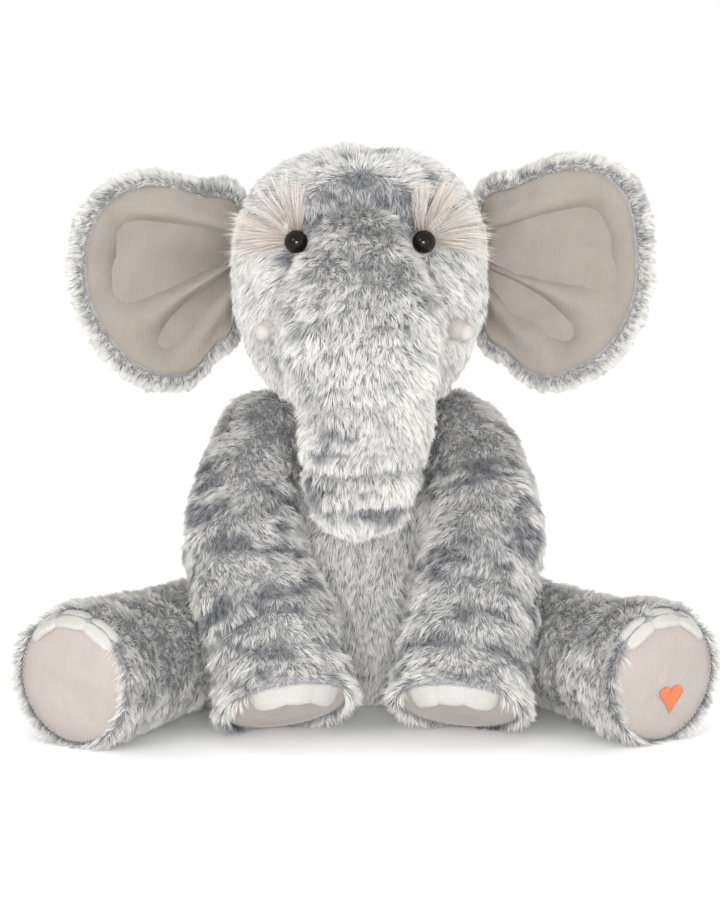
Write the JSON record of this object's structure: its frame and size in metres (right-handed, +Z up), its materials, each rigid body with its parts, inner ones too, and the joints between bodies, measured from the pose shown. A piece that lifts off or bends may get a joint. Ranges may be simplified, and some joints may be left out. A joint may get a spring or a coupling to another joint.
{
  "type": "stuffed elephant",
  "caption": "Seated grey plush elephant with large lined ears, hanging trunk, small tusks, splayed hind legs and front legs reaching to the floor, with soft seams that bend.",
  "frame": {"origin": "on the floor under the middle of the toy's box, with the seat on z=0", "axes": "+X to the right as seen from the front and across the spread feet, -Y the way the toy faces, +Z up"},
  "size_m": [0.4442, 0.2832, 0.366],
  "materials": {
    "fur": "long frosted pile, grey-white tips over slate roots",
    "stuffing": "matt polyester fibre",
    "pellet_pouch": "plain woven pouch",
    "velour": "short beige velour",
    "sole": "short pinkish-beige velour",
    "pale_plush": "short off-white plush",
    "lash": "long silky cream fibres",
    "embroidery": "satin-stitched orange thread",
    "eye": "polished",
    "washer": "moulded"
  },
  "bodies": {
    "torso": {"torso_fur_shell": "fur", "torso_stuffing": "stuffing", "seat_pellet_pouch": "pellet_pouch"},
    "neck": {"neck_stuffing": "stuffing"},
    "head": {"head_fur_shell": "fur", "head_stuffing": "stuffing", "eye_left": "eye", "eye_right": "eye", "eye_washer_left": "washer", "eye_washer_right": "washer", "eyelash_tuft_left": "lash", "eyelash_tuft_right": "lash", "tusk_left": "pale_plush", "tusk_right": "pale_plush"},
    "trunk": {"trunk_upper_shell": "fur", "trunk_upper_stuffing": "stuffing"},
    "trunk_tip": {"trunk_tip_shell": "fur", "trunk_tip_stuffing": "stuffing"},
    "ear_left": {"ear_back_left": "fur", "ear_lining_left": "velour"},
    "ear_right": {"ear_back_right": "fur", "ear_lining_right": "velour"},
    "tail": {"tail_cord": "fur", "tail_tuft": "fur"},
    "front_leg_left": {"front_leg_shell_left": "fur", "front_leg_stuffing_left": "stuffing", "front_sole_left": "sole", "front_toenail_left_1": "pale_plush", "front_toenail_left_2": "pale_plush", "front_toenail_left_3": "pale_plush"},
    "hind_leg_left": {"hind_leg_shell_left": "fur", "hind_leg_stuffing_left": "stuffing", "hind_sole_left": "sole", "hind_toenail_left_1": "pale_plush", "hind_toenail_left_2": "pale_plush", "hind_toenail_left_3": "pale_plush"},
    "front_leg_right": {"front_leg_shell_right": "fur", "front_leg_stuffing_right": "stuffing", "front_sole_right": "sole", "front_toenail_right_1": "pale_plush", "front_toenail_right_2": "pale_plush", "front_toenail_right_3": "pale_plush"},
    "hind_leg_right": {"hind_leg_shell_right": "fur", "hind_leg_stuffing_right": "stuffing", "hind_sole_right": "sole", "hind_toenail_right_1": "pale_plush", "hind_toenail_right_2": "pale_plush", "hind_toenail_right_3": "pale_plush", "sole_heart_patch": "embroidery"}
  },
  "joints": [
    {"name": "head_turn", "type": "hinge", "parent": "torso", "child": "neck", "pos_m": [-0.00475, 0.02165, 0.222], "axis": [0, 0, 1], "range_deg": [-15, 15], "stiffness_Nm_per_rad": 1.2},
    {"name": "head_nod", "type": "hinge", "parent": "neck", "child": "head", "pos_m": [-0.00475, 0.02165, 0.222], "axis": [1, 0, 0], "range_deg": [-10, 10], "stiffness_Nm_per_rad": 2},
    {"name": "trunk_lift", "type": "hinge", "parent": "head", "child": "trunk", "pos_m": [-0.00475, -0.07235, 0.286], "axis": [-1, 0, 0], "range_deg": [0, 50], "stiffness_Nm_per_rad": 0.25},
    {"name": "trunk_curl", "type": "hinge", "parent": "trunk", "child": "trunk_tip", "pos_m": [-0.00075, -0.10035, 0.206], "axis": [-1, 0, 0], "range_deg": [0, 40], "stiffness_Nm_per_rad": 0.08},
    {"name": "ear_flap_left", "type": "hinge", "parent": "head", "child": "ear_left", "pos_m": [-0.08375, 0.01165, 0.29], "axis": [0, 0, 1], "range_deg": [-15, 25], "stiffness_Nm_per_rad": 0.06},
    {"name": "ear_flap_right", "type": "hinge", "parent": "head", "child": "ear_right", "pos_m": [0.07425, 0.01165, 0.29], "axis": [0, 0, -1], "range_deg": [-15, 25], "stiffness_Nm_per_rad": 0.06},
    {"name": "front_leg_lift_left", "type": "hinge", "parent": "torso", "child": "front_leg_left", "pos_m": [-0.06875, 0.02365, 0.177], "axis": [-0.8065, 0.4007, -0.4347], "range_deg": [0, 38], "stiffness_Nm_per_rad": 0.25},
    {"name": "front_leg_lift_right", "type": "hinge", "parent": "torso", "child": "front_leg_right", "pos_m": [0.06125, 0.02365, 0.177], "axis": [-0.8065, -0.4007, 0.4347], "range_deg": [0, 38], "stiffness_Nm_per_rad": 0.25},
    {"name": "hind_leg_splay_left", "type": "hinge", "parent": "torso", "child": "hind_leg_left", "pos_m": [-0.08475, 0.05365, 0.044], "axis": [0, 0, -1], "range_deg": [0, 20], "stiffness_Nm_per_rad": 0.4},
    {"name": "hind_leg_splay_right", "type": "hinge", "parent": "torso", "child": "hind_leg_right", "pos_m": [0.07725, 0.05365, 0.044], "axis": [0, 0, 1], "range_deg": [0, 20], "stiffness_Nm_per_rad": 0.4},
    {"name": "tail_swing", "type": "hinge", "parent": "torso", "child": "tail", "pos_m": [-0.00475, 0.11165, 0.062], "axis": [0, 0, 1], "range_deg": [-25, 25], "stiffness_Nm_per_rad": 0.02}
  ]
}
